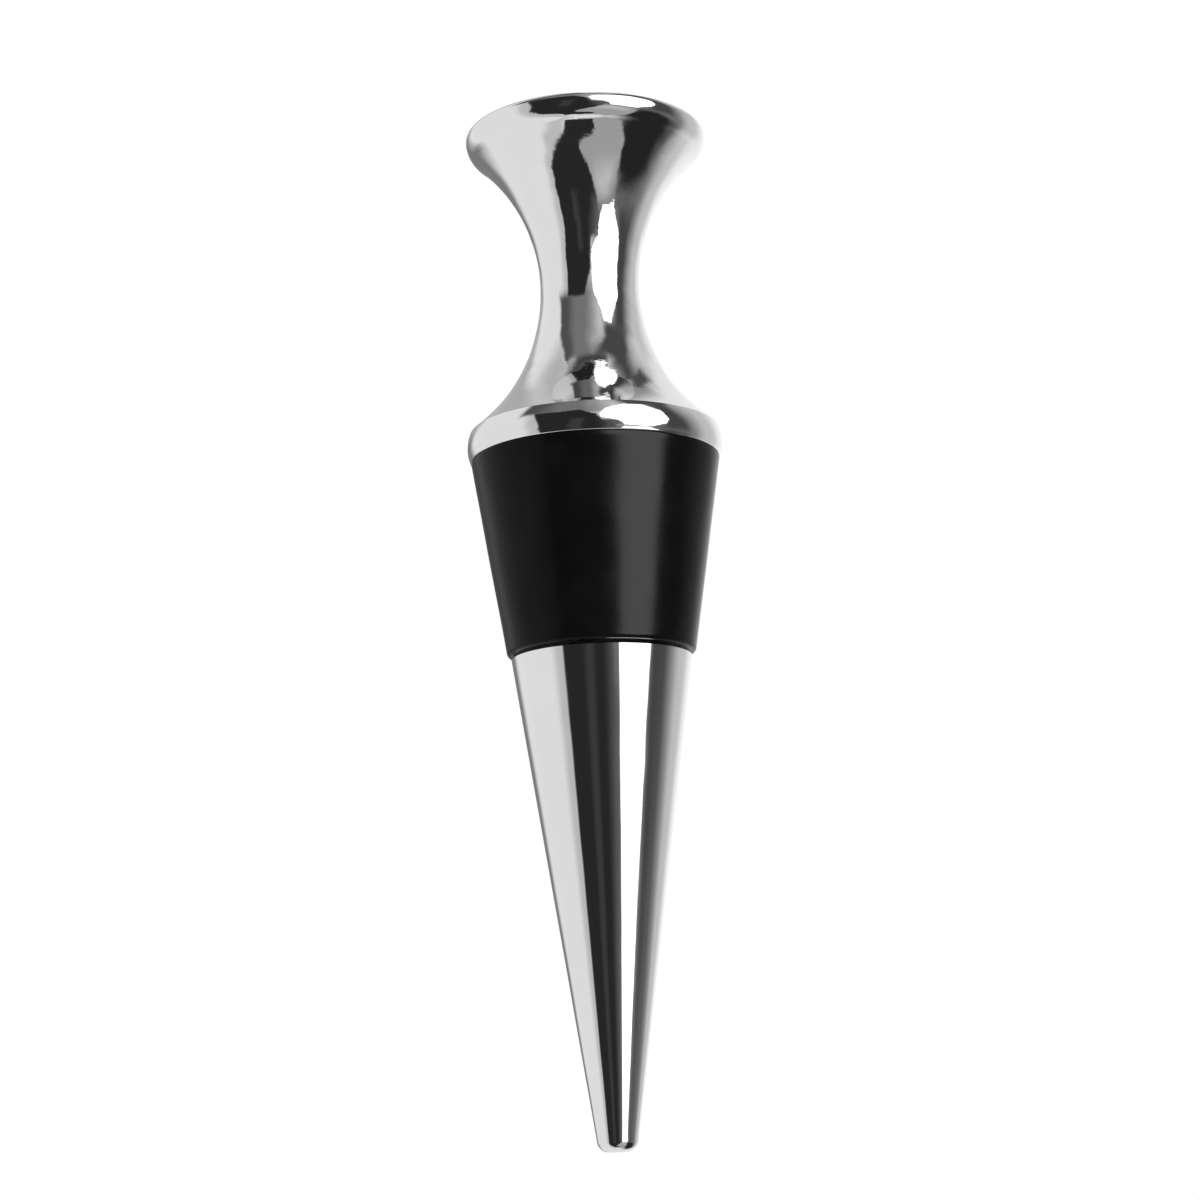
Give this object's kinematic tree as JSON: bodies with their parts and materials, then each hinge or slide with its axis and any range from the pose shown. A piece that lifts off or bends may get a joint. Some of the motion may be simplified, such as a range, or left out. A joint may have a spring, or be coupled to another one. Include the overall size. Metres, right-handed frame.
{
  "type": "bottle stopper",
  "caption": "Bottle stopper: a waisted chrome handle screwed onto a long chrome cone, with a tapered black rubber sleeve between them that seals the bottle's neck.",
  "frame": {"origin": "centre of the seam plane, where the handle's base rests on the wide end of the rubber sleeve", "axes": "+Z along the stopper's axis, from the cone's tip towards the handle's flat top; X and Y lie in the seam plane and are equivalent"},
  "size_m": [0.0248, 0.0248, 0.0991],
  "materials": {
    "handle": "polished chrome plate on a cast spool",
    "joining_stud": "zinc-plated steel",
    "rubber_sleeve": "black moulded rubber, satin",
    "plug": "polished chrome plate on a turned cone"
  },
  "bodies": {
    "sleeve": {"rubber_sleeve": "rubber_sleeve"},
    "handle": {"handle": "handle"},
    "plug": {"plug": "plug", "joining_stud": "joining_stud"}
  },
  "joints": [
    {"name": "handle_turn", "type": "hinge", "parent": "sleeve", "child": "handle", "pos_m": [0, 0, 0], "axis": [0, 0, 1], "range_deg": [0, 2880]},
    {"name": "plug_drop", "type": "slide", "parent": "sleeve", "child": "plug", "axis": [0, 0, -1], "range_m": [0, 0.008]}
  ],
  "couplings": [
    {"joint": "plug_drop", "follows": "handle_turn", "m_per_rad": 0.00015915}
  ]
}
